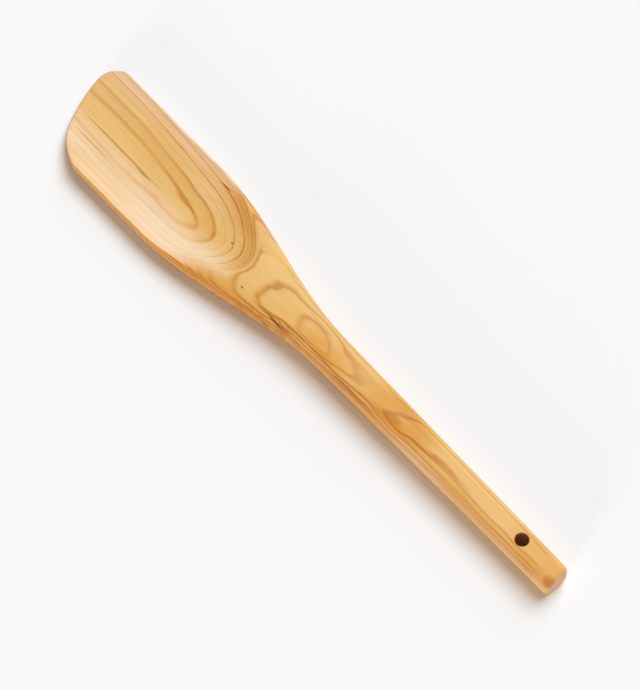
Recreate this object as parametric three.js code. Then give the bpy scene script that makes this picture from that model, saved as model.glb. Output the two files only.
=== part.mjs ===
// A wooden pot scoop, carved from one stick: a straight handle with a hanging hole, a waisted neck,
// and a blade that is hollowed on top and cut on a slant at the front.
// Millimetres. +X runs from the handle to the blade, +Y to the left, +Z up. The scoop lies on its back
// with the hollow upwards, and the origin is at the bottom centre of its box.
import * as THREE from "three";

// Lengths along the stick
const HANDLE_LENGTH = 147; // butt end to waist
const NECK_LENGTH = 104; // waist to shoulder, where the sides flare out
const BLADE_LENGTH = 73; // shoulder to the most forward point of the front edge
const HOLLOW_RUN = 49.5; // how far the round back of the hollow reaches behind the shoulder

// Widths
const BUTT_WIDTH = 13.4;
const WAIST_WIDTH = 16.8;
const BLADE_WIDTH = 50.4;

// Handle and neck, seen from the side
const BUTT_THICKNESS = 15;
const WAIST_THICKNESS = 15.2;
const WAIST_LIFT = 0.8; // the underside of the waist above the table
const NECK_CROWN = 2.2; // how far the middle of the neck rises above a straight run from handle to rim
const NECK_SHED = 1.2; // how far its sides fall below that run
const HANDLE_ROUND = 4.5; // rounding along the four long edges
const BUTT_ROUND = 2.2; // rounding round the end face

// Blade, seen from the side
const HOLLOW_DEPTH = 5.8; // rim to floor at the shoulder
const FRONT_DEPTH = 5.4; // rim to floor at the front edge
const FLOOR_THICKNESS = 4;
const FRONT_THICKNESS = 2.2;
const FRONT_LIFT = 2.2; // the underside of the front edge above the table
const RIM_THICKNESS = 4.2;
const FRONT_RIM_THICKNESS = 2.8;
const RIM_LAND = 1.2; // the strip of rim that the hollow leaves at each side
const RIM_ROUND = 0.46; // rounding of a thin rim, as a share of its thickness

// Front edge, seen from above
const FRONT_SLANT = 21; // degrees from square, the right side being the longer
const FRONT_BULGE = 5.4; // how far the edge bows out between its corners
const RIGHT_CORNER = 12;
const LEFT_CORNER = 13.5;
const NOSE_LENGTH = 1.3; // the rounding over of the thin front edge

// Hanging hole
const HOLE_DIAMETER = 6.4;
const HOLE_FROM_BUTT = 23.3;
const HOLE_PATCH = 1.65; // half length of the wood that is meshed round the hole, in hole radii

// How the curves are shaped
const BELLY_POWER = 2.2; // how square the underside and the crown are across the stick
const HOLLOW_PLAN = 2.3; // how square the back of the hollow is, seen from above
const HOLLOW_POWER = 0.9; // how softly the hollow runs out at its rim

// How finely the skin is divided
const FLAT_STEPS = 10; // middle of a face to the start of its rounded edge
const ROUND_STEPS = 5; // round one long edge
const HOLE_STEPS = 8; // along the wood that is meshed round the hole
const HOLE_RINGS = 3;
const BUTT_STEPS = 4;
const HANDLE_STEPS = 8;
const NECK_STEPS = 10; // waist to the back of the hollow
const HOLLOW_STEPS = 26; // from there to the shoulder
const BLADE_STEPS = 20;
const NOSE_STEPS = 4;

const LENGTH = HANDLE_LENGTH + NECK_LENGTH + BLADE_LENGTH;
const WAIST = HANDLE_LENGTH;
const SHOULDER = WAIST + NECK_LENGTH;
const HOLLOW_BACK = SHOULDER - HOLLOW_RUN;
const HOLE_RADIUS = HOLE_DIAMETER / 2;

const { lerp, clamp, smoothstep, degToRad } = THREE.MathUtils;
const fall = (radius, run) => radius - Math.sqrt(Math.max(radius ** 2 - run ** 2, 0));

// Sizes of the section at u, the distance from the butt end.
// The neck takes the handle's section over into the blade's.
function section(u) {
  const neck = smoothstep(u, WAIST, SHOULDER);
  const along = u / HANDLE_LENGTH;
  const ahead = Math.max(u - SHOULDER, 0) / BLADE_LENGTH;

  const handleBottom = WAIST_LIFT * along;
  const handleThickness = lerp(BUTT_THICKNESS, WAIST_THICKNESS, along);
  const bladeBottom = FRONT_LIFT * ahead ** 2;
  const floor = lerp(FLOOR_THICKNESS, FRONT_THICKNESS, ahead);
  const rimThickness = lerp(RIM_THICKNESS, FRONT_RIM_THICKNESS, ahead);
  const rim = bladeBottom + floor + lerp(HOLLOW_DEPTH, FRONT_DEPTH, ahead);

  // The butt end is rounded over, so the whole section draws in there.
  const inset = fall(BUTT_ROUND, clamp(BUTT_ROUND - u, 0, BUTT_ROUND));
  const side = lerp(handleThickness, rimThickness, neck) - 2 * inset;
  const run = lerp(handleBottom + handleThickness, rim, neck) - inset;
  const swell = 4 * neck * (1 - neck); // 0 at both ends of the neck, 1 halfway
  const edge = run - NECK_SHED * swell;
  const bottom = lerp(handleBottom, bladeBottom, neck) + inset;
  return {
    half: lerp(lerp(BUTT_WIDTH, WAIST_WIDTH, along), BLADE_WIDTH, neck) / 2 - inset,
    round: Math.min(lerp(HANDLE_ROUND, RIM_ROUND * rimThickness, neck) - inset / 2, RIM_ROUND * (edge - run + side)),
    edge, // top of the section at its sides
    middle: run + NECK_CROWN * swell, // top of the section at its middle, before hollowing
    floor: bottom + floor, // where the hollow comes down to
    chine: run - side, // underside of the section at its sides
    bottom, // underside of the section at its middle
  };
}

// Height of the upper and the lower skin at a point, u along the stick and a across it.
function heights(u, a) {
  const s = section(u);
  const share = Math.min(Math.abs(a) / s.half, 1);
  const bow = 1 - share ** BELLY_POWER;
  const edgeFall = fall(s.round, Math.max(Math.abs(a) - (s.half - s.round), 0));

  const back = Math.max(SHOULDER - u, 0) / HOLLOW_RUN;
  const across = Math.abs(a) / (s.half - RIM_LAND);
  const inside = Math.max(1 - back ** HOLLOW_PLAN - across ** HOLLOW_PLAN, 0);
  const hollow = (s.middle - s.floor) * inside ** HOLLOW_POWER;
  return {
    top: lerp(s.edge, s.middle, bow) - hollow - edgeFall,
    bottom: lerp(s.chine, s.bottom, bow) + edgeFall,
  };
}

// Positions across one face of the section, from its right side to its left.
function acrossFace({ half, round }) {
  const flat = half - round;
  const right = [];
  for (let k = 0; k < ROUND_STEPS; k++) {
    right.push(-flat - round * Math.cos((k / ROUND_STEPS) * (Math.PI / 2)));
  }
  for (let k = FLAT_STEPS; k > 0; k--) {
    right.push(-flat * Math.sin(k / FLAT_STEPS) / Math.sin(1)); // closer together towards the side
  }
  return [...right, 0, ...right.map((a) => -a).reverse()];
}

// How far forward the front edge lies at a, before it is set against the length of the scoop.
function frontShape(a) {
  const half = BLADE_WIDTH / 2;
  const slant = -a * Math.tan(degToRad(FRONT_SLANT));
  const bow = FRONT_BULGE * (1 - (a / half) ** 2);
  const corner = a > 0 ? LEFT_CORNER : RIGHT_CORNER;
  return slant + bow - fall(corner, Math.max(Math.abs(a) - (half - corner), 0));
}

const bladeAcross = acrossFace(section(LENGTH));
const frontMost = Math.max(...bladeAcross.map(frontShape));
const frontAt = (a) => LENGTH - frontMost + frontShape(a);

// Mesh of the skin, gathered point by point.
const points = [];
const triangles = [];

function addPoint(u, a, z) {
  points.push(u - LENGTH / 2, a, z);
  return points.length / 3 - 1;
}

// A four-sided face, given anticlockwise as seen from outside.
function addQuad(a, b, c, d) {
  triangles.push(a, b, c, a, c, d);
}

// Stations square across the stick, from the butt end to the shoulder.
const holeSpan = HOLE_PATCH * HOLE_RADIUS;
const holeStart = HOLE_FROM_BUTT - holeSpan;
const holeEnd = HOLE_FROM_BUTT + holeSpan;
const steps = (from, to, count) => Array.from({ length: count }, (_, i) => lerp(from, to, i / count));
const buttStations = Array.from({ length: BUTT_STEPS }, (_, i) => {
  return BUTT_ROUND * (1 - Math.cos((i / BUTT_STEPS) * (Math.PI / 2)));
});
const squareStations = [
  ...buttStations,
  ...steps(BUTT_ROUND, holeStart, 2),
  ...steps(holeStart, holeEnd, HOLE_STEPS),
  ...steps(holeEnd, WAIST, HANDLE_STEPS),
  ...steps(WAIST, HOLLOW_BACK, NECK_STEPS),
  ...steps(HOLLOW_BACK, SHOULDER, HOLLOW_STEPS),
];
const rows = squareStations.map((u) => acrossFace(section(u)).map((a) => ({ u, a })));

// From the shoulder on, each row of points leans a little further towards the slanted front edge.
for (let i = 0; i <= BLADE_STEPS; i++) {
  const forward = i / BLADE_STEPS;
  const plainAcross = acrossFace(section(lerp(SHOULDER, LENGTH, forward)));
  rows.push(plainAcross.map((a) => ({ u: lerp(SHOULDER, frontAt(a) - NOSE_LENGTH, forward), a })));
}

// The upper and the lower skin, one row of points at a time.
const upper = [];
const lower = [];
for (const row of rows) {
  upper.push(row.map(({ u, a }) => addPoint(u, a, heights(u, a).top)));
  lower.push(row.map(({ u, a }) => addPoint(u, a, heights(u, a).bottom)));
}

// The nose closes the two skins on one line, the front edge itself.
const noseRow = rows.at(-1);
for (let i = 1; i <= NOSE_STEPS; i++) {
  const run = Math.sin((i / NOSE_STEPS) * (Math.PI / 2));
  const open = Math.cos((i / NOSE_STEPS) * (Math.PI / 2)) / 2;
  const nose = noseRow.map(({ u, a }) => {
    const { top, bottom } = heights(u, a);
    return { u: u + run * NOSE_LENGTH, a, middle: (top + bottom) / 2, half: (top - bottom) * open };
  });
  upper.push(nose.map(({ u, a, middle, half }) => addPoint(u, a, middle + half)));
  const closed = i === NOSE_STEPS;
  lower.push(closed ? upper.at(-1) : nose.map(({ u, a, middle, half }) => addPoint(u, a, middle - half)));
}

// Faces between the rows, leaving out the wood round the hanging hole.
const lastRow = upper.length - 1;
const lastAcross = upper[0].length - 1;
const holeRow = squareStations.indexOf(holeStart);
const patchMargin = Math.ceil(ROUND_STEPS / 2); // how far down the rounded edge the patch begins
const inPatch = (i, k) =>
  i >= holeRow && i < holeRow + HOLE_STEPS && k >= patchMargin && k < lastAcross - patchMargin;

for (let i = 0; i < lastRow; i++) {
  for (let k = 0; k < lastAcross; k++) {
    if (inPatch(i, k)) continue;
    addQuad(upper[i][k], upper[i + 1][k], upper[i + 1][k + 1], upper[i][k + 1]);
    addQuad(lower[i][k], lower[i][k + 1], lower[i + 1][k + 1], lower[i + 1][k]);
  }
  addQuad(upper[i][0], lower[i][0], lower[i + 1][0], upper[i + 1][0]);
  addQuad(upper[i][lastAcross], upper[i + 1][lastAcross], lower[i + 1][lastAcross], lower[i][lastAcross]);
}

// The flat end face of the handle.
for (let k = 0; k < lastAcross; k++) {
  addQuad(upper[0][k], upper[0][k + 1], lower[0][k + 1], lower[0][k]);
}

// The hanging hole: rings of faces lead from the edge of the patch to a round mouth on each skin.
const patchLoop = [];
const patchLast = lastAcross - patchMargin;
for (let k = patchMargin; k < patchLast; k++) patchLoop.push([holeRow, k]);
for (let i = 0; i < HOLE_STEPS; i++) patchLoop.push([holeRow + i, patchLast]);
for (let k = patchLast; k > patchMargin; k--) patchLoop.push([holeRow + HOLE_STEPS, k]);
for (let i = HOLE_STEPS; i > 0; i--) patchLoop.push([holeRow + i, patchMargin]);

function holeRings(skin, face) {
  const rings = [patchLoop.map(([i, k]) => skin[i][k])];
  for (let ring = 1; ring <= HOLE_RINGS; ring++) {
    rings.push(
      patchLoop.map(([i, k]) => {
        const { u, a } = rows[i][k];
        const angle = Math.atan2(a, u - HOLE_FROM_BUTT);
        const mouthU = HOLE_FROM_BUTT + HOLE_RADIUS * Math.cos(angle);
        const mouthA = HOLE_RADIUS * Math.sin(angle);
        const ringU = lerp(u, mouthU, ring / HOLE_RINGS);
        const ringA = lerp(a, mouthA, ring / HOLE_RINGS);
        return addPoint(ringU, ringA, heights(ringU, ringA)[face]);
      }),
    );
  }
  return rings;
}

const upperRings = holeRings(upper, "top");
const lowerRings = holeRings(lower, "bottom");
patchLoop.forEach((_, n) => {
  const next = (n + 1) % patchLoop.length;
  for (let ring = 0; ring < HOLE_RINGS; ring++) {
    const [up, upIn] = [upperRings[ring], upperRings[ring + 1]];
    const [low, lowIn] = [lowerRings[ring], lowerRings[ring + 1]];
    addQuad(up[n], upIn[n], upIn[next], up[next]);
    addQuad(low[n], low[next], lowIn[next], lowIn[n]);
  }
  const [mouth, foot] = [upperRings.at(-1), lowerRings.at(-1)];
  addQuad(mouth[n], foot[n], foot[next], mouth[next]);
});

// On the front edge the two skins share their points, so faces there that have no area are dropped.
const faces = [];
for (let i = 0; i < triangles.length; i += 3) {
  const corners = triangles.slice(i, i + 3);
  if (new Set(corners).size === 3) faces.push(...corners);
}

const skin = new THREE.BufferGeometry();
skin.setAttribute("position", new THREE.Float32BufferAttribute(points, 3));
skin.setIndex(faces);
skin.computeVertexNormals();

const oiledWood = new THREE.MeshStandardMaterial({ color: 0xdfb273, roughness: 0.5, metalness: 0 });
const scoop = new THREE.Mesh(skin, oiledWood);
scoop.name = "scoop";

const potScoop = new THREE.Group();
potScoop.add(scoop);

export default potScoop;
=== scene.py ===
# %% [markdown]
# A wooden pot scoop
#
# The scoop is one stick of pale hardwood: a squared handle with a hanging hole, a neck that swells, and
# a blade that is hollowed on top and cut off on a slant. Nothing is joined, so the lesson has one
# piece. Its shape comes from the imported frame, and what Blender adds is a finer skin, eased hole
# edges, the growth rings of the wood, and the light.

# %% Load the frame
import math

import bmesh
import bpy
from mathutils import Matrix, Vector


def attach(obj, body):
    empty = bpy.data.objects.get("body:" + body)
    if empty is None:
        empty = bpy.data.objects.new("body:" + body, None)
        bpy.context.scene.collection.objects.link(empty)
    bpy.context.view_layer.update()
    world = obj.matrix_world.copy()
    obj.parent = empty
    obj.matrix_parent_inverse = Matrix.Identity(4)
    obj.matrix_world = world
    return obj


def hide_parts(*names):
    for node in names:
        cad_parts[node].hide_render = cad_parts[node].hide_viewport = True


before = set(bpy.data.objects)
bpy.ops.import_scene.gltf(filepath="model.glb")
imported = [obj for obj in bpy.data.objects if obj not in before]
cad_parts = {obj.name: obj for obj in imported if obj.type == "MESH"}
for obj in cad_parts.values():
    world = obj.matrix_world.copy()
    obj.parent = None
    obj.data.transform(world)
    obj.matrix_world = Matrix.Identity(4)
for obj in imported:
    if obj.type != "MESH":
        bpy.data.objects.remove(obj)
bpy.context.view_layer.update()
MM = 0.001

# %% [markdown]
# The camera
#
# The scoop was photographed from high up, a little to one side of the handle's end, with a long lens, so
# its sides hardly converge. A camera is easiest to place backwards: first the direction it looks in,
# then how far away it stands, then where in the picture one point of the neck shows. Moving it about by
# hand until the picture looks right would take longer and never settle on one place.

# %% Place the camera
PICTURE_WIDTH = 640
PICTURE_HEIGHT = 690
CAMERA_AZIMUTH = math.radians(228.15)
CAMERA_ELEVATION = math.radians(65)
CAMERA_DISTANCE = 1.9
PIXELS_PER_METRE = 2238.7
NECK_POINT = Vector((-2, 0, 8)) * MM
NECK_PIXEL = (312.5, 334.6)
SENSOR = 36

level_forward = Vector((-math.sin(CAMERA_AZIMUTH), math.cos(CAMERA_AZIMUTH), 0))
forward = level_forward * math.cos(CAMERA_ELEVATION) - Vector((0, 0, math.sin(CAMERA_ELEVATION)))
right = Vector((level_forward.y, -level_forward.x, 0))
up = right.cross(forward)
across = (PICTURE_WIDTH / 2 - NECK_PIXEL[0]) / PIXELS_PER_METRE
down = (PICTURE_HEIGHT / 2 - NECK_PIXEL[1]) / PIXELS_PER_METRE
aim = NECK_POINT + right * across - up * down

camera = bpy.data.objects.new("camera", bpy.data.cameras.new("camera"))
bpy.context.scene.collection.objects.link(camera)
camera.location = aim - forward * CAMERA_DISTANCE
camera.rotation_euler = forward.to_track_quat("-Z", "Y").to_euler()
camera.data.sensor_width = SENSOR
camera.data.lens = SENSOR * PIXELS_PER_METRE * CAMERA_DISTANCE / PICTURE_HEIGHT
bpy.context.scene.camera = camera
print("camera at", [round(x, 3) for x in camera.location], "lens", round(camera.data.lens, 1), "mm")

# %% [markdown]
# Node helpers
#
# Materials are built from nodes, and a node tree written in code is easiest to read when each node takes
# one line. These helpers add a node, feed it values or other nodes, and hand back its output. The first
# few do sums, the next make soft masks and noise, and the last deal with colours and node groups.

# %% Helpers for nodes and sums
def add_node(tree, kind, **settings):
    """A new node with some of its settings changed."""
    node = tree.nodes.new(kind)
    for name, value in settings.items():
        setattr(node, name, value)
    return node


def feed(tree, socket, value):
    """Link another node's output to a socket, or set a plain value on it."""
    if isinstance(value, bpy.types.NodeSocket):
        tree.links.new(value, socket)
    elif value is not None:
        socket.default_value = value


def calc(tree, operation, a, b=None, c=None):
    node = add_node(tree, "ShaderNodeMath", operation=operation)
    for socket, value in zip(node.inputs, (a, b, c)):
        feed(tree, socket, value)
    return node.outputs["Value"]


def chain(tree, operation, first, *others):
    """One sum over any number of values, such as the product of several masks."""
    result = first
    for other in others:
        result = calc(tree, operation, result, other)
    return result


def vector_calc(tree, operation, a, b=None):
    node = add_node(tree, "ShaderNodeVectorMath", operation=operation)
    for socket, value in zip(node.inputs, (a, b)):
        feed(tree, socket, value)
    return node.outputs["Value" if operation == "LENGTH" else "Vector"]


def split_vector(tree, vector):
    node = add_node(tree, "ShaderNodeSeparateXYZ")
    feed(tree, node.inputs[0], vector)
    return node.outputs


print("helpers for nodes and sums ready")

# %% Helpers for masks and noise
SPOT_CORE = 0.35


def ease(tree, value, low, high, at_low=0.0, at_high=1.0):
    """A soft step from one value to another while the input goes from low to high."""
    node = add_node(tree, "ShaderNodeMapRange", interpolation_type="SMOOTHSTEP")
    names = ("Value", "From Min", "From Max", "To Min", "To Max")
    for name, number in zip(names, (value, low, high, at_low, at_high)):
        feed(tree, node.inputs[name], number)
    return node.outputs["Result"]


def soft_spot(tree, place, centre, radii):
    """A mask that is 1 in the core of an ellipsoid and fades to 0 at its skin."""
    offset = vector_calc(tree, "SUBTRACT", place, centre)
    distance = vector_calc(tree, "LENGTH", vector_calc(tree, "DIVIDE", offset, radii))
    return ease(tree, distance, 1.0, SPOT_CORE)


def noise(tree, place, stretch, detail=2.0, roughness=0.5, seed=(0.0, 0.0, 0.0)):
    """Noise drawn out by so many mm along each axis."""
    moved = vector_calc(tree, "ADD", place, seed)
    scaled = vector_calc(tree, "MULTIPLY", moved, tuple(1 / length for length in stretch))
    node = add_node(tree, "ShaderNodeTexNoise")
    feed(tree, node.inputs["Vector"], scaled)
    feed(tree, node.inputs["Scale"], 1.0)
    feed(tree, node.inputs["Detail"], detail)
    feed(tree, node.inputs["Roughness"], roughness)
    return node.outputs["Fac"]


print("helpers for masks and noise ready")

# %% Helpers for colours and groups
def rgb(red, green, blue):
    """A colour as a paint program gives it, 0 to 255, in Blender's linear numbers."""
    def linear(level):
        share = level / 255
        return share / 12.92 if share <= 0.04045 else ((share + 0.055) / 1.055) ** 2.4
    return (linear(red), linear(green), linear(blue), 1.0)


def mix_colour(tree, share, a, b, blend="MIX"):
    """Colour a going over to b. A Mix node has its colour inputs at 6 and 7 and its colour output at 2."""
    node = add_node(tree, "ShaderNodeMix", data_type="RGBA", blend_type=blend)
    feed(tree, node.inputs["Factor"], share)
    feed(tree, node.inputs[6], a)
    feed(tree, node.inputs[7], b)
    return node.outputs[2]


def new_group(name, inputs, outputs):
    """An empty node group, with the sockets that it takes values from and gives them to."""
    tree = bpy.data.node_groups.new(name, "ShaderNodeTree")
    for socket_name, kind in inputs:
        tree.interface.new_socket(socket_name, in_out="INPUT", socket_type=kind)
    for socket_name, kind in outputs:
        tree.interface.new_socket(socket_name, in_out="OUTPUT", socket_type=kind)
    taken = tree.nodes.new("NodeGroupInput").outputs
    given = tree.nodes.new("NodeGroupOutput").inputs
    return tree, taken, given


def use_group(tree, group, **values):
    node = add_node(tree, "ShaderNodeGroup", node_tree=group)
    for name, value in values.items():
        feed(tree, node.inputs[name], value)
    return node.outputs


print("helpers for colours and groups ready")

# %% [markdown]
# Floor and light
#
# The scoop lies on a white sheet. A soft key lamp stands high on its right, a window lower on that side
# puts a sheen on the hollow, a reflector opposite lifts the shaded side, and the room fills the rest. Suns
# with wide angles give soft edges evenly over the whole length, where area lamps would fade along the
# handle. All together light a level surface at about 1, so colours render about as they are written
# and the sheet's own colour makes the white. The fill and the reflector are warm, and the key and the
# window are cool by as much, so that open floor stays neutral while shadows turn warm. A sun of strength
# pi lights a surface that faces it at 1, and a level one less, the lower the sun stands.

# %% Lay the floor
FLOOR_SIDE = 8.0
SHEET = rgb(248, 249, 250)
SHEET_ROUGHNESS = 0.9

bpy.ops.object.select_all(action="DESELECT")
bpy.ops.mesh.primitive_plane_add(size=FLOOR_SIDE)
floor = bpy.context.object
floor.name = "floor"
sheet = bpy.data.materials.new("white_sheet")
sheet.use_nodes = True
sheet_shader = sheet.node_tree.nodes["Principled BSDF"]
sheet_shader.inputs["Base Color"].default_value = SHEET
sheet_shader.inputs["Roughness"].default_value = SHEET_ROUGHNESS
sheet_shader.inputs["Specular IOR Level"].default_value = 0.0
floor.data.materials.append(sheet)
print("floor", FLOOR_SIDE, "m")

# %% Hang the lamps
FILL_SHARE = 0.28
WARM_LIGHT = (1.0, 0.85, 0.7)
# Each lamp: where it stands, its width in degrees, its share of the light on a level floor, and its tint.
LAMPS = {
    "key": {"stands": (0.05, -0.5, 0.866), "width": 44, "share": 0.565, "warm": False},
    "window": {"stands": (0.3, -0.8, 0.5), "width": 50, "share": 0.08, "warm": False},
    "reflector": {"stands": (-0.3, 0.9, 0.17), "width": 20, "share": 0.075, "warm": True},
}
warm_share = FILL_SHARE + LAMPS["reflector"]["share"]
cool_channels = [(1 - warm_share * channel) / (1 - warm_share) for channel in WARM_LIGHT]
COOL_LEVEL = max(cool_channels)
COOL_LIGHT = [channel / COOL_LEVEL for channel in cool_channels]

for lamp_name, lamp in LAMPS.items():
    stands = Vector(lamp["stands"]).normalized()
    sun = bpy.data.objects.new(lamp_name, bpy.data.lights.new(lamp_name, "SUN"))
    bpy.context.scene.collection.objects.link(sun)
    sun.data.angle = math.radians(lamp["width"])
    sun.data.color = WARM_LIGHT if lamp["warm"] else COOL_LIGHT
    light_on_floor = lamp["share"] if lamp["warm"] else lamp["share"] * COOL_LEVEL
    sun.data.energy = light_on_floor * math.pi / stands.z
    sun.rotation_euler = (-stands).to_track_quat("-Z", "Y").to_euler()
    print(lamp_name, "lamp of", round(sun.data.energy, 2))

# %% [markdown]
# The room
#
# The room does two jobs. As a lamp it gives the fill from all sides. To the camera, and in reflections, it
# is simply white like the sheet. One plain background can't do both, because a white one would give too
# much light, so a Light Path node tells the two apart.

# %% Fill the room
room = bpy.data.worlds.new("white_room")
room.use_nodes = True
bpy.context.scene.world = room
room_tree = room.node_tree
room_tree.nodes.clear()
fill = add_node(room_tree, "ShaderNodeBackground")
feed(room_tree, fill.inputs["Color"], (*WARM_LIGHT, 1.0))
feed(room_tree, fill.inputs["Strength"], FILL_SHARE)
seen = add_node(room_tree, "ShaderNodeBackground")
feed(room_tree, seen.inputs["Color"], SHEET)
rays = add_node(room_tree, "ShaderNodeLightPath").outputs
seen_by = [rays["Is Camera Ray"], rays["Is Glossy Ray"], rays["Is Transmission Ray"]]
shown = chain(room_tree, "MAXIMUM", *seen_by)
either = add_node(room_tree, "ShaderNodeMixShader")
feed(room_tree, either.inputs[0], shown)
feed(room_tree, either.inputs[1], fill.outputs[0])
feed(room_tree, either.inputs[2], seen.outputs[0])
room_out = add_node(room_tree, "ShaderNodeOutputWorld")
feed(room_tree, room_out.inputs["Surface"], either.outputs[0])

view = bpy.context.scene.view_settings
view.view_transform = "Standard"
print("fill of", FILL_SHARE)

# %% [markdown]
# The carved stick
#
# A carver saws the outline, hollows the blade with a gouge, then rounds and sands everything until no
# edge is left sharp. The frame already holds that shape as facets. A copy of it is merged, and its
# triangles are paired back into four-sided faces, which smooth more evenly than triangles do.
# Remodelling it from a block would only drift away from the true size.

# %% Copy the stick and pair its triangles
MERGE_DISTANCE = 0.002 * MM
PAIRING_ANGLE = math.radians(60)

stick = bpy.data.objects.new("carved_scoop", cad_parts["scoop"].data.copy())
bpy.context.scene.collection.objects.link(stick)
stick.data.materials.clear()
bpy.ops.object.select_all(action="DESELECT")
stick.select_set(True)
bpy.context.view_layer.objects.active = stick
bpy.ops.object.mode_set(mode="EDIT")
bpy.ops.mesh.select_all(action="SELECT")
bpy.ops.mesh.remove_doubles(threshold=MERGE_DISTANCE)
bpy.ops.mesh.tris_convert_to_quads(face_threshold=PAIRING_ANGLE, shape_threshold=PAIRING_ANGLE)
bpy.ops.object.mode_set(mode="OBJECT")
sides = [len(face.vertices) for face in stick.data.polygons]
print(len(stick.data.vertices), "points,", sides.count(4), "quads,", sides.count(3), "triangles")

# %% [markdown]
# The hanging hole
#
# The hole is drilled straight through near the end of the handle, and its two mouths are rubbed with
# sandpaper, which leaves a narrow round edge. The mouth edges are found by their place: they are the
# sharp ones that lie one radius from the drill's axis. A small bevel there also stops the subdivision
# from opening the hole up.

# %% Ease the hole's mouths
HOLE_AXIS = Vector((-138.7, 0)) * MM
HOLE_RADIUS = 3.2 * MM
MOUTH_EASE = 0.35 * MM
MOUTH_SEGMENTS = 2
NEAR = 0.1 * MM
SHARP = math.radians(60)


def from_drill_axis(point):
    return (point.xy - HOLE_AXIS).length


bpy.ops.object.mode_set(mode="EDIT")
bpy.ops.mesh.select_all(action="DESELECT")
bpy.ops.mesh.select_mode(type="EDGE")
shape = bmesh.from_edit_mesh(stick.data)
for edge in shape.edges:
    on_wall = all(abs(from_drill_axis(end.co) - HOLE_RADIUS) < NEAR for end in edge.verts)
    edge.select_set(on_wall and edge.calc_face_angle() > SHARP)
mouth_edges = sum(edge.select for edge in shape.edges)
bmesh.update_edit_mesh(stick.data)
bpy.ops.mesh.bevel(offset=MOUTH_EASE, segments=MOUTH_SEGMENTS, affect="EDGES")
bpy.ops.object.mode_set(mode="OBJECT")
print(mouth_edges, "mouth edges eased")

# %% [markdown]
# The skin
#
# Sandpaper leaves no facets, so the copy needs a finer skin. Smooth shading alone would hide the facets
# inside the outline but leave corners along it. A Subdivision Surface rounds the outline too, and two
# levels are enough for a close look.

# %% Smooth the skin
SKIN_LEVELS = 2

skin = stick.modifiers.new("skin", "SUBSURF")
skin.levels = SKIN_LEVELS
skin.render_levels = SKIN_LEVELS
bpy.ops.object.modifier_apply(modifier=skin.name)
bpy.ops.object.shade_smooth()
stick.data.calc_loop_triangles()
print("skin of", len(stick.data.loop_triangles), "triangles")

# %% [markdown]
# Growth rings
#
# The stick was sawn flat from the outside of a tree, so its rings lie nearly level, like sheets of card,
# and the carving cuts through them: the hollow shows them as nested tongues, the crest of the neck as
# ovals, and the sides as straight lines. A solid texture gives all of that by itself, where a picture
# would have to be drawn for every face. First come the tones of the stack by height: each ring darkens
# slowly and ends in a sharp line. A ring takes four of the 32 stops that a colour ramp can hold, so a
# lower and an upper ramp share the stack.

# %% Tones of the ring stack
STACK_HEIGHT = 18.0
UPPER_START = 10.7
# Each ring's height and line width in mm, then three tones from 0 to 1: late wood, line, early wood above.
LOWER_RINGS = (
    (1.2, 0.3, 0.35, 0.7, 0.2), (2.75, 0.1, 0.3, 0.7, 0.25), (4.05, 0.26, 0.4, 0.92, 0.5),
    (5.45, 0.28, 0.6, 0.92, 0.25), (6.6, 0.1, 0.3, 0.6, 0.2), (8.05, 0.2, 0.35, 0.9, 0.25),
    (10.3, 0.45, 0.4, 0.9, 0.3),
)
UPPER_RINGS = (
    (11.2, 0.3, 0.4, 0.82, 0.35), (11.9, 0.28, 0.4, 0.8, 0.35), (12.7, 0.35, 0.4, 0.9, 0.35),
    (13.6, 0.35, 0.4, 0.88, 0.4), (15.1, 0.3, 0.35, 0.85, 0.2), (16.25, 0.17, 0.25, 0.88, 0.25),
    (16.77, 0.13, 0.25, 0.86, 0.3),
)
# Where a ring's stops lie below or above its height, in line widths.
LATE_END = -1.6
LINE_START = -0.7
EARLY_START = 0.5


def ring_ramp(tree, share_of_stack, ring_set):
    stops = []
    for level, width, late, line, early in ring_set:
        stops += [(level + LATE_END * width, late), (level + LINE_START * width, line)]
        stops += [(level, line), (level + EARLY_START * width, early)]
    node = add_node(tree, "ShaderNodeValToRGB")
    elements = node.color_ramp.elements
    # A new ramp comes with two stops, and the rest are added.
    for number, (level, tone) in enumerate(stops):
        stop = elements[number] if number < 2 else elements.new(1.0)
        stop.position = level / STACK_HEIGHT
        stop.color = (tone, tone, tone, 1.0)
    feed(tree, node.inputs["Fac"], share_of_stack)
    return node.outputs["Color"]


print(len(LOWER_RINGS + UPPER_RINGS), "rings")

# %% [markdown]
# Bends in the stack
#
# A tree is never quite round or straight, and its bends make the figure of the wood. The stack swells
# under the crest of the neck, sags towards the front of the blade and climbs in steps along the handle.
# It leans to one side, differently from stretch to stretch, and is folded along the middle of the blade.
# Local swells and three sizes of noise let the lines wander. Each bend changes only the height that a
# point has in the stack, so the bends are simply added up.

# %% Measures of the bends
CREST_X = -8.0
CREST_SPREAD = 12.0
CREST_RISE = 0.8
# The factor in the exponent of a bell curve, which is the shape of the crest's swell.
BELL = -0.5
NECK_TILT = 0.002
BLADE_SAG = -0.00006
# Where the stack climbs along the handle: start and end in mm, and how far.
HANDLE_STEPS = (
    (-48.0, -66.0, 0.84), (-62.0, -72.0, 0.15), (-78.0, -136.0, 0.48), (-130.0, -144.0, 0.2),
)
BASE_LEAN = -0.035
# Stretches that lean otherwise: the change of lean, then where along the stick it fades in and out, in mm.
LEANS = {
    "neck": (0.075, (-60.0, -25.0), (60.0, 15.0)),
    "front": (0.055, (60.0, 140.0)),
    "flame": (0.14, (-44.0, -54.0), (-72.0, -62.0)),
}
FOLD_ROUND = 4.0
# Where the slope of the fold changes: start and end in mm, and by how much.
FOLDS = ((0.0, 20.0, 0.16), (40.0, 65.0, -0.05))
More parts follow.
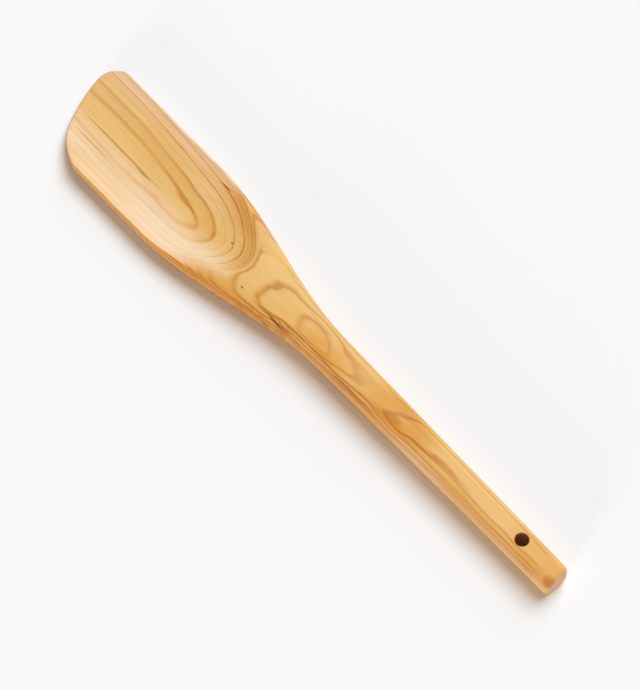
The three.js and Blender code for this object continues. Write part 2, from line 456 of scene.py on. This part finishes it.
# Places where the stack dips or swells: centre and radii in mm, and how far.
SWELLS = (
    ((82.0, 4.5, 4.5), (20.0, 8.0, 6.0), -0.5),
    ((-34.0, 0.0, 15.5), (16.0, 9.0, 5.0), 0.25),
    ((11.0, 3.5, 15.9), (11.0, 7.0, 4.0), -0.12),
)
# Noise that lets the lines wander: its depth in mm, then its settings.
WAVES = (
    (0.7, {"stretch": (45, 14, 14)}),
    (0.22, {"stretch": (16, 9, 9), "detail": 1.0, "seed": (7, 33, 21)}),
    (0.15, {"stretch": (9, 1.8, 1.8), "detail": 3.0, "seed": (40, 7, 3)}),
)
NOISE_MIDDLE = 0.5
print(len(HANDLE_STEPS), "steps,", len(LEANS), "leans,", len(SWELLS), "swells,", len(WAVES), "waves")

# %% Bend the stack
PLACE_SOCKET = ("Place", "NodeSocketVector")
TONE_SOCKET = ("Tone", "NodeSocketFloat")

rings, taken, given = new_group("growth_rings", [PLACE_SOCKET], [TONE_SOCKET])
stack_place = taken["Place"]
along, aside, height = split_vector(rings, stack_place)

off_crest = calc(rings, "DIVIDE", calc(rings, "SUBTRACT", along, CREST_X), CREST_SPREAD)
hill = calc(rings, "EXPONENT", chain(rings, "MULTIPLY", off_crest, off_crest, BELL))
tilt = calc(rings, "MULTIPLY", along, NECK_TILT)
ahead = calc(rings, "MAXIMUM", along, 0.0)
sag = chain(rings, "MULTIPLY", ahead, ahead, BLADE_SAG)
lean = BASE_LEAN
for change, *fades in LEANS.values():
    stretch = chain(rings, "MULTIPLY", *[ease(rings, along, *fade) for fade in fades])
    lean = calc(rings, "MULTIPLY_ADD", stretch, change, lean)
fold = chain(rings, "ADD", *[ease(rings, along, start, end, 0.0, change) for start, end, change in FOLDS])
off_middle = calc(rings, "SQRT", calc(rings, "MULTIPLY_ADD", aside, aside, FOLD_ROUND**2))
off_middle = calc(rings, "SUBTRACT", off_middle, FOLD_ROUND)
print("bends of", len(rings.nodes), "nodes")

# %% Add up the bends and read the tone
stacked = chain(rings, "ADD", height, tilt, sag)
for start, end, climb in HANDLE_STEPS:
    stacked = calc(rings, "ADD", stacked, ease(rings, along, start, end, 0.0, climb))
for slope, distance in ((hill, CREST_RISE), (lean, aside), (fold, off_middle)):
    stacked = calc(rings, "MULTIPLY_ADD", slope, distance, stacked)
for centre, radii, swell in SWELLS:
    stacked = calc(rings, "MULTIPLY_ADD", soft_spot(rings, stack_place, centre, radii), swell, stacked)
for depth, settings in WAVES:
    wave = calc(rings, "SUBTRACT", noise(rings, stack_place, **settings), NOISE_MIDDLE)
    stacked = calc(rings, "MULTIPLY_ADD", wave, depth, stacked)

share_of_stack = calc(rings, "DIVIDE", stacked, STACK_HEIGHT)
lower = ring_ramp(rings, share_of_stack, LOWER_RINGS)
upper = ring_ramp(rings, share_of_stack, UPPER_RINGS)
in_upper = calc(rings, "GREATER_THAN", stacked, UPPER_START)
feed(rings, given["Tone"], mix_colour(rings, in_upper, lower, upper))
print("growth rings of", len(rings.nodes), "nodes")

# %% [markdown]
# Zones of the wood
#
# One recipe doesn't suit the whole stick. The left of the blade is pale with quiet lines, partly sapwood
# and partly a painted sheen where it faces the key. The right of the blade, its right rim and the handle's
# shaded side are painted paler, which is painted light, and the blade's left side face is painted deeper
# orange, which is painted shade. The sides of the neck cut across dense wood, and the two ends show end
# grain. Each zone is a mask, made as a product of soft fades by the place on the stick, in mm, or by the
# way that the surface faces. Masks that follow the wood need no painting and no UV map, and they stay in
# place at any resolution.

# %% Start the material
wood = bpy.data.materials.new("oiled_wood")
wood.use_nodes = True
tree = wood.node_tree
shader = tree.nodes["Principled BSDF"]
coordinates = add_node(tree, "ShaderNodeTexCoord").outputs
place = vector_calc(tree, "MULTIPLY", coordinates["Object"], (1 / MM, 1 / MM, 1 / MM))
at = split_vector(tree, place)
facing = split_vector(tree, coordinates["Normal"])
# Outward is above zero where the surface looks away from the middle of the stick.
measures = {
    "along": at["X"],
    "aside": at["Y"],
    "frontward": facing["X"],
    "leftward": facing["Y"],
    "sideways": calc(tree, "ABSOLUTE", facing["Y"]),
    "outward": calc(tree, "MULTIPLY", facing["Y"], at["Y"]),
}
print(len(measures), "measures for", wood.name)

# %% Mask the zones
# Each zone's fades: what is measured, where the zone starts and where it is full, and, if they aren't 0
# and 1, its strengths there.
ZONES = {
    "butt": (("along", -150.0, -158.0),),
    "front": (("along", 95.0, 150.0),),
    # Partly sapwood and partly a painted sheen, on the faces that are not turned away from the key.
    "left of blade": (("along", 36.0, 52.0), ("aside", -2.0, 13.0), ("leftward", 0.35, 0.1)),
    # Painted light: paler colour that lifts the shade on the right of the blade and its rim.
    "right of blade": (("along", 36.0, 52.0), ("aside", -4.0, -13.0)),
    "right rim": (("along", 62.0, 84.0), ("aside", -18.5, -22.5)),
    "right shoulder": (("along", 4.0, 14.0), ("along", 50.0, 40.0), ("aside", -8.5, -11.0)),
    # Painted light: paler colour that lifts the shade on the handle's left side.
    "handle side": (("along", -50.0, -78.0), ("aside", 6.0, 7.5)),
    # Painted shade: the blade's side face turned away from the key is tinted deeper orange.
    "shaded left side": (("along", 30.0, 60.0), ("leftward", 0.3, 0.7)),
    "flank": (
        ("sideways", 0.2, 0.55), ("along", 84.0, 62.0),
        ("along", -80.0, -25.0, 0.25, 1.0), ("aside", -1.0, 1.0, 0.4, 1.0),
    ),
    "outer side": (("outward", 0.0, 1.5),),
    "front edge": (("frontward", 0.35, 0.9, 0.0, 0.8),),
    "sawn end": (("frontward", -0.8, -0.97),),
}

zones = {}
for zone_name, fades in ZONES.items():
    masks = [ease(tree, measures[kind], *numbers) for kind, *numbers in fades]
    zones[zone_name] = chain(tree, "MULTIPLY", *masks)
print(len(zones), "zones")

# %% [markdown]
# Ring tones and fibres
#
# The rings give one tone for each point, and quiet zones pull that tone towards plain early wood. Over the
# rings lie the fibres, drawn out along the stick: fine ones everywhere, and coarser ones that show where
# the sides cut them at a slant. Two broader noises let the wood drift between warm and pale, and let ring
# lines fade and come back. All four are noise stretched along the stick: a picture of grain would repeat,
# and it would break at every edge.

# %% Tone and grain
QUIET_TONE = 0.3
# How much of the ring tone each quiet zone takes away.
QUIET = {"left of blade": 0.7, "right rim": 0.5, "right shoulder": 0.7, "front": 0.25, "butt": 1.0}
GRAINS = {
    "fibre": {"stretch": (38, 0.55, 0.55), "detail": 3.0, "roughness": 0.6, "seed": (3, 11, 5)},
    "side fibre": {"stretch": (70, 1.3, 1.9), "detail": 3.0, "roughness": 0.6, "seed": (24, 5, 17)},
    "drift": {"stretch": (60, 16, 16), "seed": (90, 20, 8)},
    "fading": {"stretch": (30, 7, 7), "seed": (15, 60, 2)},
}


def weigh_zones(shares):
    return [calc(tree, "MULTIPLY", zones[zone_name], share) for zone_name, share in shares.items()]


quiet = chain(tree, "MAXIMUM", *weigh_zones(QUIET))
ring_tone = use_group(tree, rings, Place=place)["Tone"]
tone = calc(tree, "MULTIPLY_ADD", quiet, calc(tree, "SUBTRACT", QUIET_TONE, ring_tone), ring_tone)
grain = {grain_name: noise(tree, place, **settings) for grain_name, settings in GRAINS.items()}
print(len(QUIET), "quiet zones and", len(grain), "grains")

# %% [markdown]
# The ground colour
#
# Sapwood, from the outside of the tree, is pale, and heartwood is a deeper orange. The ground is straw
# everywhere, goes over to sapwood in the pale zones, and takes soft patches of heartwood. The pale colour
# also
# serves as painted light: a painted sheen on the left of the blade, and lifted shade on the right of the
# blade, its right rim and the handle's shaded side. The ground could be painted on the skin, but a patch
# that lies in the solid wood runs round every edge without a seam.

# %% Sapwood, heartwood and painted light
STRAW = rgb(234, 188, 115)
# Pale sapwood that also serves as painted light: a painted sheen and lifted shade in the pale zones.
SAPWOOD_AND_PAINTED_LIGHT = rgb(243, 214, 179)
# Heartwood for the patches, also used as painted shade on the blade's left side face.
HEARTWOOD_AND_SHADE = rgb(222, 153, 60)
# How much of the pale colour each zone shows: sapwood with a painted sheen on the left of the blade,
# and painted light that lifts the shade in the other zones.
PALE = {"left of blade": 0.92, "right of blade": 0.3, "right rim": 1.0, "handle side": 1.0}
# Each patch of heartwood: its centre and radii in mm, and how strongly it shows.
HEART_PATCHES = (
    ((60.0, -16.0, 10.0), (26.0, 11.0, 9.0), 0.45),
    ((29.0, 17.5, 10.0), (52.0, 10.0, 7.0), 0.7),
    ((-6.0, 1.0, 16.0), (34.0, 11.0, 5.0), 0.12),
    ((-14.4, 3.3, 16.0), (21.0, 5.5, 5.0), 0.7),
    ((-60.0, 0.0, 15.6), (29.0, 11.0, 5.0), 1.0),
    ((-150.0, 0.0, 15.0), (24.0, 12.0, 12.0), 0.45),
)

paleness = chain(tree, "ADD", *weigh_zones(PALE))
ground = mix_colour(tree, paleness, STRAW, SAPWOOD_AND_PAINTED_LIGHT)
for centre, radii, share in HEART_PATCHES:
    patch = calc(tree, "MULTIPLY", soft_spot(tree, place, centre, radii), share)
    ground = mix_colour(tree, patch, ground, HEARTWOOD_AND_SHADE)
print(len(HEART_PATCHES), "patches of heartwood")

# %% [markdown]
# Ring lines
#
# On the ground, a ring's late wood turns tan and its line brown. The lines are darkest where dense wood
# lies bare: on the sides of the neck, together with the coarse fibres, and in the flame on top of the
# handle. A slow drift of warmer wood and a fine streak of fibres lie over everything. All lines are read
# from the same ring tone, so tan, brown and deep brown stay in step with each other.

# %% Late wood and ring lines
TAN = rgb(218, 160, 76)
BROWN = rgb(195, 122, 36)
TAN_SHARE = 0.75
# Each effect's range: the tones or noise values where it starts and is full, then its strengths there.
TO_TAN = (0.2, 0.85, 0.0, 1.0)
TO_BROWN = (0.7, 1.0, 0.0, 1.0)
LINE_FADING = (0.3, 0.6, 0.35, 1.0)

late_wood = mix_colour(tree, TAN_SHARE, ground, TAN)
colour = mix_colour(tree, ease(tree, tone, *TO_TAN), ground, late_wood)
lines = calc(tree, "MULTIPLY", ease(tree, tone, *TO_BROWN), ease(tree, grain["fading"], *LINE_FADING))
colour = mix_colour(tree, lines, colour, BROWN)
print("ring lines in", wood.name)

# %% Dense wood
DEEP_BROWN = rgb(184, 108, 26)
FLAME = ((-62.0, 1.0, 15.6), (32.0, 10.0, 5.0))
FLANK_LINES = (0.5, 0.82, 0.0, 0.9)
FLANK_FIBRES = (0.48, 0.6, 0.0, 0.8)
FLAME_LINES = (0.45, 0.85, 0.0, 0.9)

flank_lines = calc(tree, "MULTIPLY", zones["flank"], ease(tree, tone, *FLANK_LINES))
side_fibres = ease(tree, grain["side fibre"], *FLANK_FIBRES)
flank_fibres = chain(tree, "MULTIPLY", zones["flank"], side_fibres, zones["outer side"])
flame_lines = calc(tree, "MULTIPLY", soft_spot(tree, place, *FLAME), ease(tree, tone, *FLAME_LINES))
dense = chain(tree, "MAXIMUM", flank_lines, flank_fibres, flame_lines)
colour = mix_colour(tree, dense, colour, DEEP_BROWN)
print("dense wood on the flanks and in the flame")

# %% Drift and fibres
WARM = rgb(229, 176, 96)
WARM_DRIFT = (0.45, 0.75, 0.0, 0.5)
FIBRE_SHADES = (0.3, 0.75, 1.04, 0.93)

colour = mix_colour(tree, ease(tree, grain["drift"], *WARM_DRIFT), colour, WARM)
colour = mix_colour(tree, 1.0, colour, ease(tree, grain["fibre"], *FIBRE_SHADES), "MULTIPLY")
print("fibres shade the wood from", FIBRE_SHADES[3], "to", FIBRE_SHADES[2])

# %% [markdown]
# Ends, painted shade and marks
#
# The front edge is coloured darker, while the sawn end of the handle is sanded and stays pale. The side
# face on the left of the blade, which is turned away from the key, is painted deeper orange as painted
# shade. The small marks are a spot where oil has gathered by the sawn end, faint streaks, and checks, which
# are short dark cracks along the fibres. Each could be painted, but a soft ellipsoid takes only a centre
# and three radii, and it can be moved by changing a number.

# %% Colour the ends and paint shade on the left side
FRONT_EDGE_TONE = rgb(200, 138, 76)
END_GRAIN = rgb(228, 184, 148)
LEFT_SHADE_SHARE = 0.45

# Painted shade on the side face of the blade that is turned away from the key.
painted_left_shade = calc(tree, "MULTIPLY", zones["shaded left side"], LEFT_SHADE_SHARE)
colour = mix_colour(tree, painted_left_shade, colour, HEARTWOOD_AND_SHADE)
colour = mix_colour(tree, zones["front edge"], colour, FRONT_EDGE_TONE)
colour = mix_colour(tree, zones["sawn end"], colour, END_GRAIN)
print("shaded left side, front edge and sawn end coloured")

# %% Add the marks
OIL_PATCH = rgb(198, 118, 46)
CHECK = rgb(124, 58, 8)
OIL_SPOTS = (
    ((-160.5, 4.2, 12.5), (4.6, 3.6, 4.6)),
)
# Two long streaks along the blade and the dark heart of the flame.
STREAKS = (
    ((126.0, 1.6, 3.9), (36.0, 0.8, 1.5)),
    ((138.0, 9.5, 4.4), (16.0, 0.5, 1.5)),
    ((-58.5, 3.0, 15.6), (7.5, 2.6, 2.5)),
)
CHECKS = (
    ((79.2, -20.2, 8.1), (4.8, 0.35, 0.9)),
    ((111.5, 2.3, 3.7), (7.0, 0.3, 0.9)),
    ((56.3, -3.5, 7.5), (0.8, 0.6, 0.9)),
    ((11.7, 10.2, 13.5), (7.5, 0.45, 2.0)),
    ((34.3, 9.9, 14.5), (1.6, 0.35, 0.9)),
)
# Each kind of mark: its colour, how strongly it shows, and the centres and radii of its spots in mm.
MARKS = ((OIL_PATCH, 0.75, OIL_SPOTS), (BROWN, 0.7, STREAKS), (CHECK, 1.0, CHECKS))

for mark_colour, share, spots in MARKS:
    for centre, radii in spots:
        mark = calc(tree, "MULTIPLY", soft_spot(tree, place, centre, radii), share)
        colour = mix_colour(tree, mark, colour, mark_colour)
print(sum(len(spots) for _, _, spots in MARKS), "marks")

# %% [markdown]
# The hole and the finish
#
# The wall of the hole is coloured a little browner than the rest. The oil leaves a soft sheen: the surface
# is a little smoother in the dense ring lines and rougher at the sawn end, and the fibres lift it very
# slightly, which a Bump node shows without any more faces.

# %% Brown the hole
HOLE_WALL_BROWN = rgb(190, 134, 100)
BROWN_WALL_REACH = 0.3

level_place = vector_calc(tree, "MULTIPLY", place, (1.0, 1.0, 0.0))
from_drill = vector_calc(tree, "SUBTRACT", level_place, (*(HOLE_AXIS / MM), 0.0))
hole_wall = HOLE_RADIUS / MM
browner_wall = ease(tree, vector_calc(tree, "LENGTH", from_drill), hole_wall + BROWN_WALL_REACH, hole_wall)
colour = mix_colour(tree, browner_wall, colour, HOLE_WALL_BROWN)
feed(tree, shader.inputs["Base Color"], colour)
print("hole browned to", round(hole_wall + BROWN_WALL_REACH, 1), "mm from its axis")

# %% Oil the surface
SHEEN = 0.18
# The tones of early wood and ring line, then their roughness.
RING_ROUGHNESS = (0.1, 0.9, 0.42, 0.36)
BUTT_ROUGHER = 0.2
FIBRE_STRENGTH = 0.12
FIBRE_HEIGHT = 0.05 * MM

shader.inputs["Specular IOR Level"].default_value = SHEEN
sanded = ease(tree, tone, *RING_ROUGHNESS)
feed(tree, shader.inputs["Roughness"], calc(tree, "MULTIPLY_ADD", zones["butt"], BUTT_ROUGHER, sanded))
bump = add_node(tree, "ShaderNodeBump")
feed(tree, bump.inputs["Strength"], FIBRE_STRENGTH)
feed(tree, bump.inputs["Distance"], FIBRE_HEIGHT)
feed(tree, bump.inputs["Height"], grain["fibre"])
feed(tree, shader.inputs["Normal"], bump.outputs["Normal"])
stick.data.materials.append(wood)
print("oiled wood of", len(tree.nodes), "nodes on", stick.name)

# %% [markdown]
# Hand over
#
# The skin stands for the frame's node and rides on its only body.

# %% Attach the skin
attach(stick, "root")
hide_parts("scoop")
